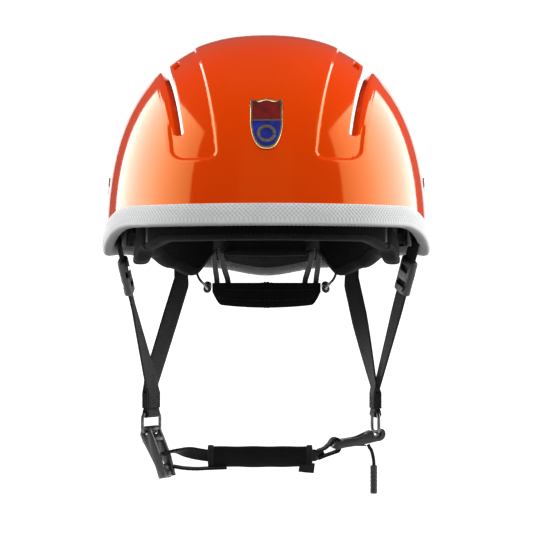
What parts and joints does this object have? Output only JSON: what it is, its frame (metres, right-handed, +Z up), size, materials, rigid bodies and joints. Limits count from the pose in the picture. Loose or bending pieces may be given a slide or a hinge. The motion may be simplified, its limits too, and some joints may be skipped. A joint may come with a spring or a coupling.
{
  "type": "arborist helmet",
  "caption": "Vented arborist helmet with braided rim trim, padded headband, dial-adjusted nape cradle and quick-release padded chin strap.",
  "frame": {"origin": "centre of the head opening, level with the shell's lower edge at the ears", "axes": "+Z up through the crown, the wearer faces -Y, +X to the side that the release hook is on"},
  "size_m": [0.2308, 0.2869, 0.3205],
  "materials": {
    "shell_orange": "high gloss",
    "liner_black": "gloss",
    "trim_white": "braided, zigzag",
    "black_plastic": "satin",
    "black_fabric": "brushed felt",
    "black_webbing": "woven webbing",
    "steel": "satin",
    "badge_gold": "polished"
  },
  "bodies": {
    "helmet": {"outer_shell": "shell_orange", "inner_liner": "liner_black", "edge_trim": "trim_white", "badge": "badge_gold", "headband": "black_plastic", "brow_pad": "black_fabric", "wing_pad_left": "black_fabric", "wing_pad_right": "black_fabric", "rear_pad": "black_fabric", "crown_strap_side": "black_webbing", "crown_strap_long": "black_webbing", "crown_patch": "black_webbing", "side_rivet_left": "steel", "side_washer_left": "steel", "rear_rivet_left": "steel", "rear_washer_left": "steel", "side_bracket_left": "black_plastic", "rear_bracket_left": "black_plastic", "rear_strap_anchor_left": "black_plastic", "tension_cable_left": "steel", "front_strap_left": "black_webbing", "rear_strap_left": "black_webbing", "strap_tab_left": "black_webbing", "wire_ring_left": "steel", "side_rivet_right": "steel", "side_washer_right": "steel", "rear_rivet_right": "steel", "rear_washer_right": "steel", "side_bracket_right": "black_plastic", "rear_bracket_right": "black_plastic", "rear_strap_anchor_right": "black_plastic", "tension_cable_right": "steel", "front_strap_right": "black_webbing", "rear_strap_right": "black_webbing", "strap_tab_right": "black_webbing", "wire_ring_right": "steel"},
    "nape_cradle": {"nape_pad": "black_fabric", "nape_plate": "black_plastic", "nape_housing": "black_plastic", "click_spring": "steel", "nape_screw_left": "steel", "nape_screw_right": "steel", "nape_arm_left_1": "black_plastic", "nape_arm_left_2": "black_plastic", "nape_arm_right_1": "black_plastic", "nape_arm_right_2": "black_plastic", "cable_guide_left": "black_plastic", "cable_guide_right": "black_plastic"},
    "adjuster": {"adjuster_wheel": "black_plastic", "cable_spool": "black_plastic", "wound_cable": "steel"},
    "chin_strap": {"chin_buckle": "black_plastic", "release_hook": "black_plastic", "chin_strap": "black_webbing", "chin_strap_tail": "black_webbing", "chin_pad": "black_fabric"},
    "pull_cord": {"pull_cord": "black_webbing", "pull_toggle": "black_plastic"},
    "left_slider": {"strap_slider_left": "black_plastic"},
    "right_slider": {"strap_slider_right": "black_plastic"}
  },
  "joints": [
    {"name": "nape_tilt", "type": "hinge", "parent": "helmet", "child": "nape_cradle", "pos_m": [0, 0.084, 0.005], "axis": [-1, 0, 0], "range_deg": [-5, 12]},
    {"name": "wheel_turn", "type": "hinge", "parent": "nape_cradle", "child": "adjuster", "pos_m": [0, 0.1047, -0.0312], "axis": [0, 1, 0], "range_deg": [-40, 90]},
    {"name": "chin_release", "type": "hinge", "parent": "helmet", "child": "chin_strap", "pos_m": [-0.081, 0.005, -0.126], "axis": [0.5299, 0.848, 0], "range_deg": [0, 75]},
    {"name": "cord_swing", "type": "hinge", "parent": "chin_strap", "child": "pull_cord", "pos_m": [0.0714, 0.005, -0.1349], "axis": [0, 1, 0], "range_deg": [-20, 25]},
    {"name": "left_slider_slide", "type": "slide", "parent": "helmet", "child": "left_slider", "axis": [0.2044, 0.2683, -0.9414], "range_m": [-0.006, 0.012]},
    {"name": "right_slider_slide", "type": "slide", "parent": "helmet", "child": "right_slider", "axis": [-0.2271, 0.2728, -0.9349], "range_m": [-0.006, 0.012]}
  ],
  "couplings": [
    {"joint": "wheel_turn", "follows": "nape_tilt", "ratio": 7}
  ]
}
